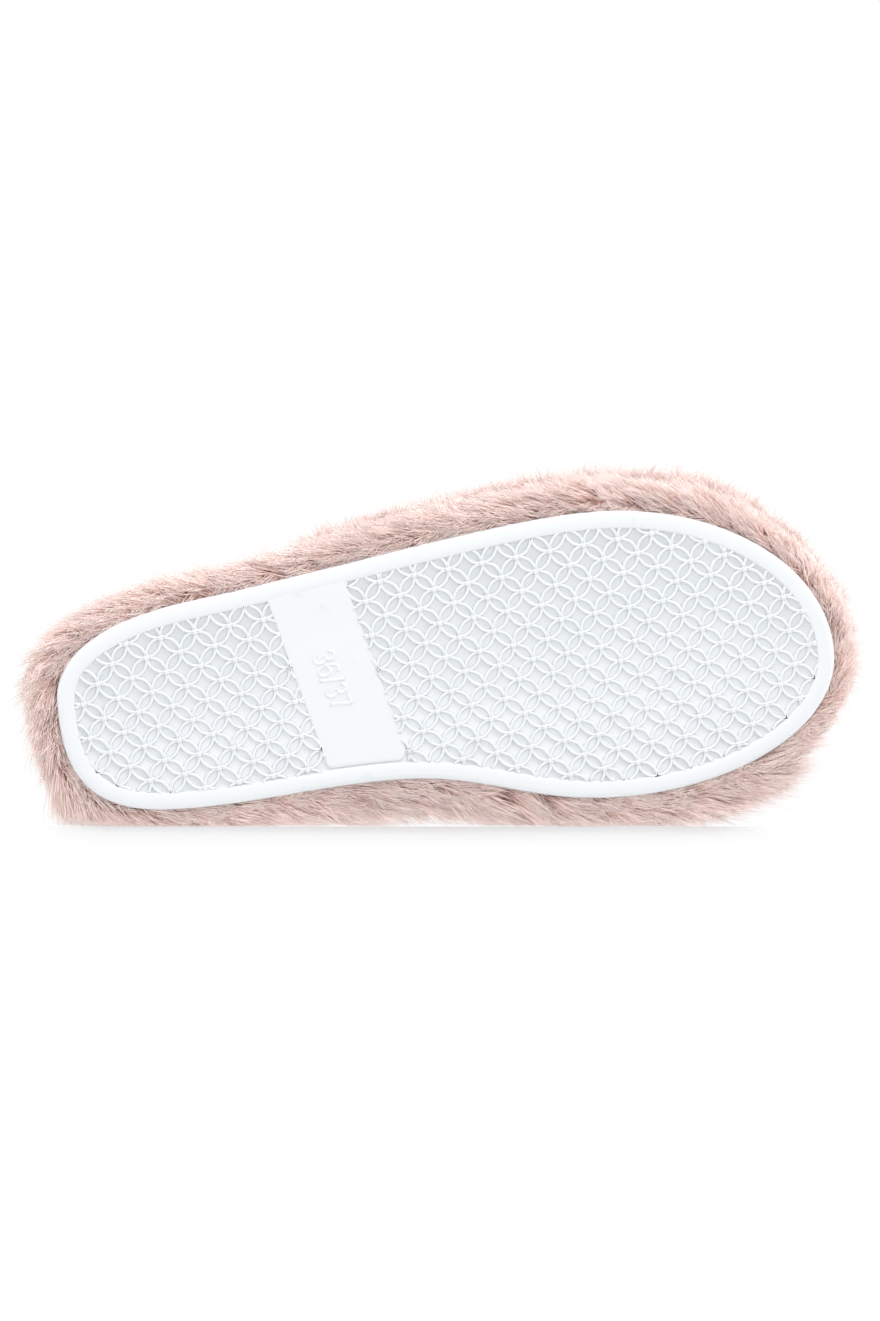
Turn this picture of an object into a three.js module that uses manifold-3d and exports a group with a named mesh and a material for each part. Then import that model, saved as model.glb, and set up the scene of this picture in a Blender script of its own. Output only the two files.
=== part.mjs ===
// Closed-toe, open-heel house slipper for the right foot: a moulded sole, a foam platform wrapped in long-pile
// faux fur, a plush footbed and a lined faux-fur upper.
// Millimetres, +Z up. The toe points towards -Y and the big-toe side is +X. The sole stands on z = 0 and the
// middle of the slipper's bounding box is over the origin.
import * as THREE from "three";
import { mergeVertices } from "three/addons/utils/BufferGeometryUtils.js";
import Module from "manifold-3d";

// Sole outline. Widths are measured from the line that joins the middle of the heel to the tip of the toe.
const soleLength = 247.5;
const ballOuter = 50;
const ballInner = 41.5;
const toeRun = 72.5; // from the tip of the toe back to the widest line
const waistInner = 31.5;
const waistRun = 107; // from the back of the heel forward to the narrowest point of the arch
const heelOuter = 29;
const heelOuterRun = 43;
const heelInner = 36.5;
const heelInnerRun = 36;
const heelFlare = 0.155; // how far the outer side widens for each millimetre towards the toe

// Moulded sole
const soleThickness = 5;
const soleEdgeRadius = 2;
const rimWidth = 5.6;
const treadDepth = 0.9;
const panelDepth = 0.35;
const panelWidth = 25;
const panelSlant = THREE.MathUtils.degToRad(16.7);
const panelMiddle = 34.5; // along the sole, from its mid-length towards the heel
const panelInner = 25.5; // from the middle line to the panel's edge on the arch side
const panelCorner = 4;

// Platform, cushion and footbed
const platformThickness = 12.7;
const platformInset = 1.3;
const cushionThickness = 3.7;
const footbedThickness = 2.5;
const footbedInset = 0;

// Fur wrapper round the platform
const wrapperReach = 8.5; // from the sole's edge to the middle of the pile
const wrapperLift = 2.5; // the pile's lowest line over the floor
const wrapperCrown = 5; // height of the rounded edges of the pile
const wrapperRound = 4; // how far the pile draws in at its edges
const wrapperFold = 8; // width of the margin glued under the platform
const wrapperCloth = 1.5;
const joinPlace = -17; // where the strip's two ends meet on the inner side, along the sole
const joinGap = 1.4;

// Upper
const cavityInset = 3; // from the sole's edge to the inside of the lining
const liningThickness = 1.5;
const foamThickness = 2.7;
const furThickness = 8;
const insideHeight = 52; // over the footbed at the throat
const insideSlope = 0.17; // drop for each millimetre towards the toe
const crownPlace = 10; // where the upper is fullest, along the sole
const sideFullness = 2.5; // 2 is a plain ellipse, more is fuller
const toeFullness = 3.4;
const sideBulge = 0.035;
const throatPlace = 2; // along the sole
const wingPlace = 44;
const toplineSag = new THREE.Vector2(34, 62); // the curve's pull point, along the sole and over the floor
const toplineTurn = 2.8; // the foam stops this far short of the turned edge

const threadDiameter = 0.8;
const clearance = 0.3;
const edgeSteps = [7, 7, 8, 8, 8, 11, 11]; // straight facets in each stretch of the sole's edge
const crownSteps = 9;

const wasm = await Module();
wasm.setup();

// ---- Solids and shapes

function toSolid(geometry) {
  const bare = new THREE.BufferGeometry();
  bare.setAttribute("position", geometry.getAttribute("position").clone());
  if (geometry.index) bare.setIndex(geometry.index.clone());
  const merged = mergeVertices(bare, 1e-4);
  return new wasm.Manifold(
    new wasm.Mesh({
      numProp: 3,
      vertProperties: new Float32Array(merged.attributes.position.array),
      triVerts: new Uint32Array(merged.index.array),
    }),
  );
}

function toGeometry(solid) {
  const mesh = solid.getMesh();
  const geometry = new THREE.BufferGeometry();
  geometry.setAttribute("position", new THREE.BufferAttribute(mesh.vertProperties, 3));
  geometry.setIndex(new THREE.BufferAttribute(mesh.triVerts, 1));
  geometry.computeVertexNormals();
  return geometry;
}

// The sole's edge as one closed path, from the ball on the inner side, round the heel and back round the toe.
function solePath() {
  const heel = soleLength / 2;
  const ball = toeRun - soleLength / 2;
  const arch = heel - waistRun;
  const inner = heel - heelInnerRun;
  const outer = heel - heelOuterRun;
  const round = 0.5523; // handle length that makes a quarter ellipse
  const square = 0.72; // a fuller quarter
  const path = new THREE.Path();
  path.moveTo(ballInner, ball);
  path.bezierCurveTo(ballInner, ball + 27, waistInner, arch - 27, waistInner, arch);
  path.bezierCurveTo(waistInner, arch + 23, heelInner, inner - 24, heelInner, inner);
  path.bezierCurveTo(heelInner, inner + square * heelInnerRun, square * heelInner, heel, 0, heel);
  path.bezierCurveTo(-round * heelOuter, heel, heelFlare * 24 - heelOuter, outer + 24, -heelOuter, outer);
  path.bezierCurveTo(-heelOuter - heelFlare * 45, outer - 45, -ballOuter, ball + 30, -ballOuter, ball);
  path.bezierCurveTo(-ballOuter, ball - round * toeRun, -round * ballOuter, -heel, 0, -heel);
  path.bezierCurveTo(round * ballInner, -heel, ballInner, ball - round * toeRun, ballInner, ball);
  return path;
}

const soleEdge = solePath().curves.flatMap((stretch, i) => stretch.getPoints(edgeSteps[i]).slice(1));

// The sole's edge moved outwards by some millimetres, or inwards when reach is negative.
function edgeAt(reach) {
  const count = soleEdge.length;
  return soleEdge.map((point, i) => {
    const before = soleEdge[(i + count - 1) % count];
    const after = soleEdge[(i + 1) % count];
    const along = after.clone().sub(before).normalize();
    return new THREE.Vector2(point.x + along.y * reach, point.y - along.x * reach);
  });
}

function plate(points, low, high) {
  const geometry = new THREE.ExtrudeGeometry(new THREE.Shape(points), {
    depth: high - low,
    bevelEnabled: false,
  });
  return toSolid(geometry.translate(0, 0, low));
}

// A plate whose upper and lower edges are rounded inwards.
function roundedPlate(points, low, high, rise, draw, steps) {
  const geometry = new THREE.ExtrudeGeometry(new THREE.Shape(points), {
    depth: high - low - 2 * rise,
    bevelThickness: rise,
    bevelSize: draw,
    bevelOffset: -draw,
    bevelSegments: steps,
  });
  return toSolid(geometry.translate(0, 0, low + rise));
}

// ---- Levels over the floor, each from the one below it

const platformLow = soleThickness + clearance;
const platformHigh = platformLow + platformThickness;
const cushionLow = platformHigh + clearance;
const cushionHigh = cushionLow + cushionThickness;
const footbedLow = cushionHigh + clearance;
const footbedHigh = footbedLow + footbedThickness;
const wrapperHigh = cushionHigh;
const seamMiddle = wrapperHigh + clearance + threadDiameter / 2;
const upperLow = seamMiddle + threadDiameter / 2 + clearance;
const innerUpperLow = footbedHigh + clearance;

// ---- Sole unit, platform, cushion and footbed

// The smooth band across the waist, as a slanted outline with one rounded corner on the arch side.
function waistPanel(inner, outer) {
  const lean = Math.tan(panelSlant);
  const half = panelWidth / 2 / Math.cos(panelSlant);
  const line = (x, side) => panelMiddle - lean * x + side * half;
  const shape = new THREE.Shape();
  shape.moveTo(outer, line(outer, 1));
  shape.lineTo(outer, line(outer, -1));
  shape.lineTo(inner - panelCorner, line(inner - panelCorner, -1));
  shape.quadraticCurveTo(inner, line(inner, -1), inner, line(inner, -1) + panelCorner);
  shape.lineTo(inner, line(inner, 1));
  return shape.getPoints(4);
}

function outsole() {
  const beyond = ballOuter + wrapperReach;
  const body = roundedPlate(soleEdge, 0, soleThickness, soleEdgeRadius, soleEdgeRadius, 2);
  const field = plate(edgeAt(-rimWidth), -1, treadDepth);
  const band = plate(waistPanel(beyond, -beyond), -2, treadDepth + 1);
  const panelEdge = plate(waistPanel(panelInner, rimWidth - ballOuter), -1, panelDepth);
  const panelRecess = panelEdge.intersect(plate(edgeAt(-rimWidth), -2, panelDepth + 1));
  return body.subtract(field.subtract(band)).subtract(panelRecess);
}

function platform() {
  const foldTop = platformLow + wrapperCloth + clearance;
  const upper = plate(edgeAt(-platformInset), foldTop, platformHigh);
  const lower = plate(edgeAt(-wrapperFold - platformInset - clearance), platformLow, foldTop + 1);
  return upper.add(lower);
}

function cushion() {
  return plate(edgeAt(-platformInset), cushionLow, cushionHigh);
}

function footbed() {
  return plate(edgeAt(-footbedInset), footbedLow, footbedHigh);
}

// ---- Fur wrapper

// Where the wrapper's ends meet: the edge point nearest to joinPlace on the inner side, and its outward direction.
function joinSpot() {
  const inner = soleEdge.filter((point) => point.x > 0);
  const offBy = (point) => Math.abs(point.y - joinPlace);
  const spot = inner.reduce((best, point) => (offBy(point) < offBy(best) ? point : best));
  const i = soleEdge.indexOf(spot);
  const along = soleEdge[i + 1].clone().sub(soleEdge[i - 1]);
  return { spot, heading: Math.atan2(-along.x, along.y) };
}

function wrapper() {
  const pile = roundedPlate(edgeAt(wrapperReach), wrapperLift, wrapperHigh, wrapperCrown, wrapperRound, 3);
  const soleRoom = plate(edgeAt(clearance), -1, platformLow);
  const platformRoom = plate(edgeAt(clearance - platformInset), platformLow + wrapperCloth, wrapperHigh + 1);
  const middleRoom = plate(edgeAt(-wrapperFold - platformInset), -2, wrapperHigh + 2);
  const { spot, heading } = joinSpot();
  const slitReach = 3 * (wrapperFold + wrapperReach);
  const slit = new THREE.BoxGeometry(slitReach, joinGap, 4 * wrapperHigh);
  slit.rotateZ(heading).translate(spot.x, spot.y, 0);
  return pile.subtract(soleRoom).subtract(platformRoom).subtract(middleRoom).subtract(toSolid(slit));
}

function wrapperJoinThread() {
  const { spot, heading } = joinSpot();
  const inset = wrapperReach / 3;
  const low = platformLow + wrapperCloth;
  const high = wrapperHigh - wrapperCloth;
  const thread = new THREE.CylinderGeometry(threadDiameter / 2, threadDiameter / 2, high - low, 8);
  thread.rotateX(Math.PI / 2).translate(0, 0, (low + high) / 2);
  thread.translate(spot.x + inset * Math.cos(heading), spot.y + inset * Math.sin(heading), 0);
  return toSolid(thread);
}

function soleSeamThread() {
  const low = seamMiddle - threadDiameter / 2;
  const outer = plate(edgeAt(footbedInset + clearance + threadDiameter), low, low + threadDiameter);
  const inner = plate(edgeAt(footbedInset + clearance), low - 1, low + threadDiameter + 1);
  return outer.subtract(inner);
}

// ---- Upper

const seat = footbedHigh; // the upper's heights are measured from the top of the footbed
const crown = new THREE.Vector2(0, crownPlace);

// How high the upper's crown line would be at a place along the sole, for a layer that lies rise above the lining.
const heightAt = (y, rise) => insideHeight + insideSlope * (y - throatPlace) + rise;

// Where a layer stands over one point of its edge, at a share of its full height. It is fuller towards the toe.
function formPoint(side, level, rise) {
  const outwards = side.clone().sub(crown).normalize();
  const fullness = THREE.MathUtils.lerp(sideFullness, toeFullness, outwards.y ** 2);
  const share = Math.max(level, 0);
  const ellipse = Math.max(1 - share ** fullness, 0) ** (1 / fullness);
  const spot = crown.clone().lerp(side, ellipse * (1 + sideBulge * Math.sin(Math.PI * share ** 0.7)));
  return new THREE.Vector3(spot.x, spot.y, seat + heightAt(spot.y, rise) * level);
}

// The full, foot-shaped dome whose surface lies rise outside the inside of the lining.
function footForm(rise) {
  const skirt = 0.5;
  const profile = [new THREE.Vector2(0, -skirt), new THREE.Vector2(1, -skirt)];
  for (let i = 0; i < crownSteps; i++) {
    const turn = (i / crownSteps) * (Math.PI / 2);
    profile.push(new THREE.Vector2(Math.cos(turn), Math.sin(turn) ** (2 / toeFullness)));
  }
  profile.push(new THREE.Vector2(0, 1));
  const edge = edgeAt(rise - cavityInset);
  const dome = new THREE.LatheGeometry(profile, edge.length);
  const place = dome.getAttribute("position");
  for (let i = 0; i < place.count; i++) {
    const level = profile[i % profile.length];
    const side = edge[Math.floor(i / profile.length) % edge.length];
    const spot = level.x === 0 ? formPoint(crown, level.y, rise) : formPoint(side, level.y, rise);
    place.setXYZ(i, spot.x, spot.y, spot.z);
  }
  return toSolid(dome);
}

// The topline from the side, as a curve along the sole and over the floor, moved towards the toe by setback.
function topline(setback, low) {
  const reachUp = seat + heightAt(throatPlace, 0) + liningThickness + foamThickness + furThickness + 4;
  return new THREE.QuadraticBezierCurve(
    new THREE.Vector2(wingPlace - setback, low),
    new THREE.Vector2(toplineSag.x - setback, toplineSag.y),
    new THREE.Vector2(throatPlace - setback, reachUp),
  );
}

// Everything in front of the topline and over a level, as a block as wide as the slipper.
function inFrontOfTopline(setback, low) {
  const far = soleLength;
  const curve = topline(setback, low).getPoints(10);
  const shape = new THREE.Shape([
    new THREE.Vector2(-far, low),
    ...curve,
    new THREE.Vector2(throatPlace - setback, far),
    new THREE.Vector2(-far, far),
  ]);
  const block = new THREE.ExtrudeGeometry(shape, { depth: 2 * far, bevelEnabled: false });
  block.rotateX(Math.PI / 2).rotateZ(Math.PI / 2).translate(-far, 0, 0);
  return toSolid(block);
}

// One layer of the upper, from one distance outside the inside of the lining to another.
function upperLayer(from, to, low, setback) {
  return footForm(to).subtract(footForm(from)).intersect(inFrontOfTopline(setback, low));
}

const foamFrom = liningThickness + clearance;
const furFrom = foamFrom + foamThickness + clearance;

const upperLining = () => upperLayer(0, liningThickness, innerUpperLow, 0);
const upperFoam = () => upperLayer(foamFrom, foamFrom + foamThickness, innerUpperLow, toplineTurn + clearance);
const upperFur = () => upperLayer(furFrom, furFrom + furThickness, upperLow, 0);

// How far the topline is along the sole at a height, found by halving the curve.
function toplinePlace(curve, height) {
  let low = 0;
  let high = 1;
  for (let i = 0; i < 30; i++) {
    const half = (low + high) / 2;
    if (curve.getPoint(half).y < height) low = half;
    else high = half;
  }
  return curve.getPoint(low).x;
}

// A point of the topline on one side, at a share of the height, in the space that the foam leaves at the turned edge.
function toplinePoint(side, level) {
  const rise = foamFrom + foamThickness / 2;
  const curve = topline(toplineTurn / 2, innerUpperLow);
  const places = edgeAt(rise - cavityInset)
    .filter((point) => point.x * side > 0)
    .map((point) => formPoint(point, level, rise))
    .sort((a, b) => a.y - b.y);
  const behind = (place) => place.y - toplinePlace(curve, place.z);
  const i = places.findIndex((place) => behind(place) > 0);
  const [front, back] = [places[i - 1], places[i]];
  return front.clone().lerp(back, -behind(front) / (behind(back) - behind(front)));
}

function toplineThread() {
  const levels = [0.12, 0.3, 0.5, 0.68, 0.82, 0.92, 0.975];
  const outer = levels.map((level) => toplinePoint(-1, level));
  const inner = levels.map((level) => toplinePoint(1, level)).reverse();
  const route = new THREE.CatmullRomCurve3([...outer, ...inner]);
  const round = new THREE.Shape();
  round.absarc(0, 0, threadDiameter / 2, 0, 2 * Math.PI);
  const options = { steps: 40, extrudePath: route, curveSegments: 4, bevelEnabled: false };
  return toSolid(new THREE.ExtrudeGeometry(round, options));
}

// ---- Materials and assembly

const furPink = 0xd79c8c;
const liningPink = 0xe2b3a5;
const soleWhite = 0xeef1f4;
const foamWhite = 0xe9e4d8;
const threadPink = 0xc98a7c;

function piece(name, solid, color, roughness) {
  const material = new THREE.MeshStandardMaterial({ color, roughness, metalness: 0 });
  const mesh = new THREE.Mesh(toGeometry(solid), material);
  mesh.name = name;
  return mesh;
}

const slipper = new THREE.Group();
slipper.add(
  piece("outsole", outsole(), soleWhite, 0.55),
  piece("platform_foam", platform(), foamWhite, 0.9),
  piece("cushion_foam", cushion(), foamWhite, 0.95),
  piece("footbed_plush", footbed(), liningPink, 1),
  piece("wrapper_fur", wrapper(), furPink, 1),
  piece("wrapper_join_thread", wrapperJoinThread(), threadPink, 0.8),
  piece("sole_seam_thread", soleSeamThread(), threadPink, 0.8),
  piece("upper_lining", upperLining(), liningPink, 1),
  piece("upper_foam", upperFoam(), foamWhite, 0.95),
  piece("upper_fur", upperFur(), furPink, 1),
  piece("topline_thread", toplineThread(), threadPink, 0.8),
);

// The middle of the bounding box goes over the origin.
const middle = new THREE.Box3().setFromObject(slipper).getCenter(new THREE.Vector3());
slipper.position.set(-middle.x, -middle.y, 0);

export default slipper;
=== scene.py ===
import math

import bmesh
import bpy
import numpy as np
from mathutils import Matrix, Vector


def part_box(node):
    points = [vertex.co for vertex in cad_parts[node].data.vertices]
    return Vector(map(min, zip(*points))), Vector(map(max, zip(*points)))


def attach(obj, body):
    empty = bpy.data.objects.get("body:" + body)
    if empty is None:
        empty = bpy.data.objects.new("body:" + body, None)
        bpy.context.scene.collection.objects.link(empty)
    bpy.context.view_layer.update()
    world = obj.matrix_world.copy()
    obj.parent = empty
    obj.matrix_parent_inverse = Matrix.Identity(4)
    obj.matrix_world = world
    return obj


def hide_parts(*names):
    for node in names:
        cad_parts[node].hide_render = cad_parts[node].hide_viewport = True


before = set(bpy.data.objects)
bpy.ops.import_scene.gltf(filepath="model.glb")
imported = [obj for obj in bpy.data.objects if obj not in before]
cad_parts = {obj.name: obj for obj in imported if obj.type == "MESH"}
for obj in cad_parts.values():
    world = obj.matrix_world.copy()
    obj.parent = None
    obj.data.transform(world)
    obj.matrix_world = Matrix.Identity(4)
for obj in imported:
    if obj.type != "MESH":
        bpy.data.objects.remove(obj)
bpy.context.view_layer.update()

# A closed-toe, open-heel house slipper. The toe points towards -Y and the big-toe side is +X.
# Lengths here are millimetres on the last's own lines, as in the solid model; make_mesh turns them
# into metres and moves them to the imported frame.

# ---- Sizes

SOLE_LENGTH = 247.5
BALL_OUTER, BALL_INNER, TOE_RUN = 50.0, 41.5, 72.5
WAIST_INNER, WAIST_RUN = 31.5, 107.0
HEEL_OUTER, HEEL_OUTER_RUN = 29.0, 43.0
HEEL_INNER, HEEL_INNER_RUN = 36.5, 36.0
HEEL_FLARE = 0.155

ROUND_ARC = 0.5523  # the handle of a curve that follows a quarter circle
SQUARE_HEEL = 0.72  # and of a squarer corner

SOLE_THICKNESS, SOLE_EDGE_RADIUS, RIM_WIDTH = 5.0, 2.0, 5.6
TREAD_DEPTH, PANEL_DEPTH, PANEL_WIDTH = 0.9, 0.35, 25.0
PANEL_SLANT, PANEL_MIDDLE, PANEL_CORNER = math.radians(16.7), 34.5, 4.0
PATTERN_PITCH, PATTERN_TURN = 7.74, math.radians(-51.7)
PATTERN_NODE = np.array([-6.96, -49.0])
PATTERN_REACH = 26  # squares of the pattern each way from its node
RIDGE_WIDTH, RIDGE_TOP, BEDDED = 0.85, 0.05, 0.2
NUMERAL_WIDTH, NUMERAL_RISE = 0.85, 0.3

FOOTBED_LOW, SEAT = 22.3, 24.8
WRAPPER_FOLD = 8.0
JOIN_PLACE, JOIN_GAP = -17.0, 0.7

CAVITY_INSET, LINING_THICKNESS, FUR_FROM = 3.0, 1.5, 4.8
INSIDE_HEIGHT, INSIDE_SLOPE = 52.0, 0.17
CROWN = np.array([0.0, 10.0])
SIDE_FULLNESS, TOE_FULLNESS, SIDE_BULGE = 2.5, 3.4, 0.035
THROAT_PLACE, WING_PLACE = 2.0, 44.0
TOPLINE_SAG, TOPLINE_RISE = (34.0, 62.0), 16.2
FUR_SKIN, TOPLINE_ROLL = 1.9, 2.1
UPPER_LOW, LINING_LOW = 23.4, 25.1

# The outsole's heel and outer side give where the last's own lines lie in the frame.
sole_low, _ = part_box("outsole")
SHIFT = np.array([sole_low.x * 1000 + BALL_OUTER, sole_low.y * 1000 + SOLE_LENGTH / 2, 0.0])

chance = np.random.default_rng(36)


# ---- Meshes

def in_frame(points):
    """Points in millimetres on the last's lines, as metres in the frame."""
    return (np.asarray(points, float).reshape(-1, 3) + SHIFT) / 1000


def new_object(name, data):
    """An object in the scene."""
    piece = bpy.data.objects.new(name, data)
    bpy.context.scene.collection.objects.link(piece)
    return piece


def make_mesh(name, points, quads, triangles=None, across=None, flat=0):
    """A piece from points in millimetres, faces of four and faces of three corners. across holds a
    pair of numbers for each corner, for the map that the pile's finish runs along. flat says how
    many of the faces of four, counted from the last, are shaded flat."""
    points = in_frame(points)
    quads = np.asarray(quads, np.int32).reshape(-1, 4)
    three = np.zeros((0, 3), np.int32) if triangles is None else np.asarray(triangles, np.int32)
    mesh = bpy.data.meshes.new(name)
    corners = np.concatenate([quads.ravel(), three.ravel()])
    starts = np.concatenate([np.arange(len(quads)) * 4, len(quads) * 4 + np.arange(len(three)) * 3])
    mesh.vertices.add(len(points))
    mesh.vertices.foreach_set("co", points.astype(np.float32).ravel())
    mesh.loops.add(len(corners))
    mesh.loops.foreach_set("vertex_index", corners)
    mesh.polygons.add(len(starts))
    mesh.polygons.foreach_set("loop_start", starts.astype(np.int32))
    mesh.update(calc_edges=True)
    if across is not None:
        layer = mesh.uv_layers.new(name="OFBake")
        layer.uv.foreach_set("vector", np.asarray(across, np.float32).ravel())
    smooth = np.ones(len(starts), bool)
    smooth[len(quads) - flat:len(quads)] = False
    mesh.polygons.foreach_set("use_smooth", smooth)
    mesh.update()
    return new_object(name, mesh)


def grid_faces(index):
    """Faces of four between neighbours in a grid of numbered points."""
    corners = index[:-1, :-1], index[:-1, 1:], index[1:, 1:], index[1:, :-1]
    return np.stack(corners, axis=-1).reshape(-1, 4)


def loft(rings):
    """Faces of four between rings of points: rings is (rings, points, 3)."""
    count, size = rings.shape[:2]
    index = np.arange(count * size).reshape(count, size)
    return grid_faces(np.concatenate([index, index[:, :1]], axis=1))


def solid_from_rings(name, rings):
    """A closed piece through rings of points, with a flat face over each end."""
    count, size = rings.shape[:2]
    last = (count - 1) * size
    ends = [tuple(range(size))[::-1], tuple(range(last, last + size))]
    return make_shell(name, rings, loft(rings).tolist() + ends)


def shell_between(name, outer, inner):
    """A closed piece between two grids of points of the same size."""
    rows, columns = outer.shape[:2]
    index = np.arange(rows * columns).reshape(rows, columns)
    face, under = grid_faces(index), rows * columns
    faces = [face, face[:, ::-1] + under]
    for rim in (index[:, 0], index[:, -1], index[0], index[-1]):
        faces.append(np.stack([rim[:-1], rim[1:], rim[1:] + under, rim[:-1] + under], axis=-1))
    points = np.concatenate([outer.reshape(-1, 3), inner.reshape(-1, 3)])
    return make_shell(name, points, np.concatenate(faces).tolist())


def make_shell(name, points, faces, merge=1e-6):
    """A piece with doubled points joined, every face turned outwards, and smooth shading."""
    mesh = bpy.data.meshes.new(name)
    mesh.from_pydata(in_frame(points).tolist(), [], faces)
    work = bmesh.new()
    work.from_mesh(mesh)
    bmesh.ops.remove_doubles(work, verts=work.verts, dist=merge)
    bmesh.ops.recalc_face_normals(work, faces=work.faces)
    work.to_mesh(mesh)
    work.free()
    mesh.polygons.foreach_set("use_smooth", np.ones(len(mesh.polygons), bool))
    mesh.update()
    return new_object(name, mesh)


def unit(vectors):
    """The same directions, each one long."""
    return vectors / np.maximum(np.linalg.norm(vectors, axis=-1, keepdims=True), 1e-9)


def along_surface(way, out):
    """Directions turned to lie along the surface that out points away from."""
    return unit(way - out * (way * out).sum(axis=1, keepdims=True))


def ramp(value, start, length):
    """From 0 at start to 1 a length further on, level outside them."""
    return np.clip((value - start) / length, 0, 1)


def eased(share):
    """A share from 0 to 1 that starts and stops gently."""
    return share * share * (3 - 2 * share)


def square_to(along):
    """The flat directions to the right of along."""
    return np.stack([along[..., 1], -along[..., 0]], axis=-1)


def run_along(line):
    """How far along a line each of its points lies."""
    return np.concatenate([[0], np.cumsum(np.linalg.norm(np.diff(line, axis=0), axis=1))])


def pairs_at(places, run, pairs, period=None):
    """The pair of numbers at each place, between the pairs that belong to run."""
    return np.stack([np.interp(places, run, pairs[:, k], period=period) for k in range(2)], axis=-1)


# ---- The last's lines

def bezier(points, steps):
    """Points of a curve with two handles, without its first."""
    t = np.linspace(0, 1, steps + 1)[1:, None]
    a, b, c, d = (np.array(p, float) for p in points)
    return a * (1 - t) ** 3 + 3 * b * t * (1 - t) ** 2 + 3 * c * t**2 * (1 - t) + d * t**3


def draw_sole_edge():
    """The sole's edge from the ball on the inner side, round the heel and back round the toe."""
    heel = SOLE_LENGTH / 2
    ball = TOE_RUN - heel
    arch, inner, outer = heel - WAIST_RUN, heel - HEEL_INNER_RUN, heel - HEEL_OUTER_RUN
    stretches = [
        [(BALL_INNER, ball), (BALL_INNER, ball + 27), (WAIST_INNER, arch - 27), (WAIST_INNER, arch)],
        [(WAIST_INNER, arch), (WAIST_INNER, arch + 23), (HEEL_INNER, inner - 24), (HEEL_INNER, inner)],
        [(HEEL_INNER, inner), (HEEL_INNER, inner + SQUARE_HEEL * HEEL_INNER_RUN),
         (SQUARE_HEEL * HEEL_INNER, heel), (0, heel)],
        [(0, heel), (-ROUND_ARC * HEEL_OUTER, heel),
         (HEEL_FLARE * 24 - HEEL_OUTER, outer + 24), (-HEEL_OUTER, outer)],
        [(-HEEL_OUTER, outer), (-HEEL_OUTER - HEEL_FLARE * 45, outer - 45),
         (-BALL_OUTER, ball + 30), (-BALL_OUTER, ball)],
        [(-BALL_OUTER, ball), (-BALL_OUTER, ball - ROUND_ARC * TOE_RUN),
         (-ROUND_ARC * BALL_OUTER, -heel), (0, -heel)],
        [(0, -heel), (ROUND_ARC * BALL_INNER, -heel),
         (BALL_INNER, ball - ROUND_ARC * TOE_RUN), (BALL_INNER, ball)],
    ]
    line = np.concatenate([bezier(stretch, 200) for stretch in stretches])
    run = run_along(line)
    total = run[-1] + np.linalg.norm(line[0] - line[-1])
    even = np.linspace(0, total, 2400, endpoint=False)
    spots = pairs_at(even, run, line, total)
    along = unit(np.roll(spots, -3, axis=0) - np.roll(spots, 3, axis=0))
    return even, spots, square_to(along), total


EDGE_RUN, EDGE_SPOTS, EDGE_OUT, EDGE_LENGTH = draw_sole_edge()


def edge_out(run):
    """The outward direction of the sole's edge, run millimetres along it."""
    return unit(pairs_at(run, EDGE_RUN, EDGE_OUT, EDGE_LENGTH))


def edge_spot(run, reach):
    """Points of the sole's edge, moved outwards by reach."""
    spots = pairs_at(run, EDGE_RUN, EDGE_SPOTS, EDGE_LENGTH)
    return spots + edge_out(run) * np.asarray(reach)[..., None]


def edge_ring(count, reach):
    """One ring of points round the sole."""
    return edge_spot(np.arange(count) * EDGE_LENGTH / count, reach)


def rim_line(inset, step=4):
    """The rim's inner line, moved outwards by inset."""
    return edge_spot(EDGE_RUN[::step], -RIM_WIDTH + inset)


def at_height(spots, height):
    """Flat points with a height, or with one height each."""
    heights = np.broadcast_to(np.asarray(height, float)[..., None], (*spots.shape[:-1], 1))
    return np.concatenate([spots, heights], axis=-1)


def inside(spots, outline):
    """Which spots lie inside a closed outline."""
    x, y = spots[:, 0][:, None], spots[:, 1][:, None]
    x0, y0 = outline[:, 0], outline[:, 1]
    x1, y1 = np.roll(x0, -1), np.roll(y0, -1)
    crosses = (y0 > y) != (y1 > y)
    rise = np.where(y1 == y0, 1e-9, y1 - y0)
    return ((crosses & (x < (x1 - x0) * (y - y0) / rise + x0)).sum(axis=1) % 2) == 1


join_near = np.where(EDGE_SPOTS[:, 0] > 0, np.abs(EDGE_SPOTS[:, 1] - JOIN_PLACE), 1e9)
JOIN_RUN = EDGE_RUN[int(np.argmin(join_near))]


# ---- Moulded sole

# The waist panel's directions: towards the arch, and across it towards the heel.
PANEL_ALONG = np.array([math.cos(PANEL_SLANT), -math.sin(PANEL_SLANT)])
PANEL_ACROSS = np.array([math.sin(PANEL_SLANT), math.cos(PANEL_SLANT)])
# A tread boss, as radius and height, from its foot in the tread's floor to its top.
BOSS_RINGS = ((1.7, TREAD_DEPTH + BEDDED), (1.2, 0.34), (0.92, 0.1), (0.6, 0.02))
BOSS_CLEARANCE = 1.6


def sole_unit():
    """The sole's body, from its upper face, round its edge and over the rim into the tread's floor."""
    radius = SOLE_EDGE_RADIUS
    roll = [(-radius + radius * math.cos(a), radius - radius * math.sin(a))
            for a in np.linspace(0.0, math.pi / 2, 7)]
    profile = [(-0.9, SOLE_THICKNESS), (-0.25, SOLE_THICKNESS - 0.2), (0.0, SOLE_THICKNESS - 0.8),
               (0.0, 3.0)] + roll + [(-3.4, 0.0), (-RIM_WIDTH + 0.55, 0.0),
               (-RIM_WIDTH + 0.2, 0.1), (-RIM_WIDTH, 0.36), (-RIM_WIDTH - 0.16, TREAD_DEPTH - 0.15),
               (-RIM_WIDTH - 0.35, TREAD_DEPTH)]
    rings = np.stack([at_height(edge_ring(720, reach), height) for reach, height in profile])
    return solid_from_rings("outsole_unit", rings)


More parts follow.
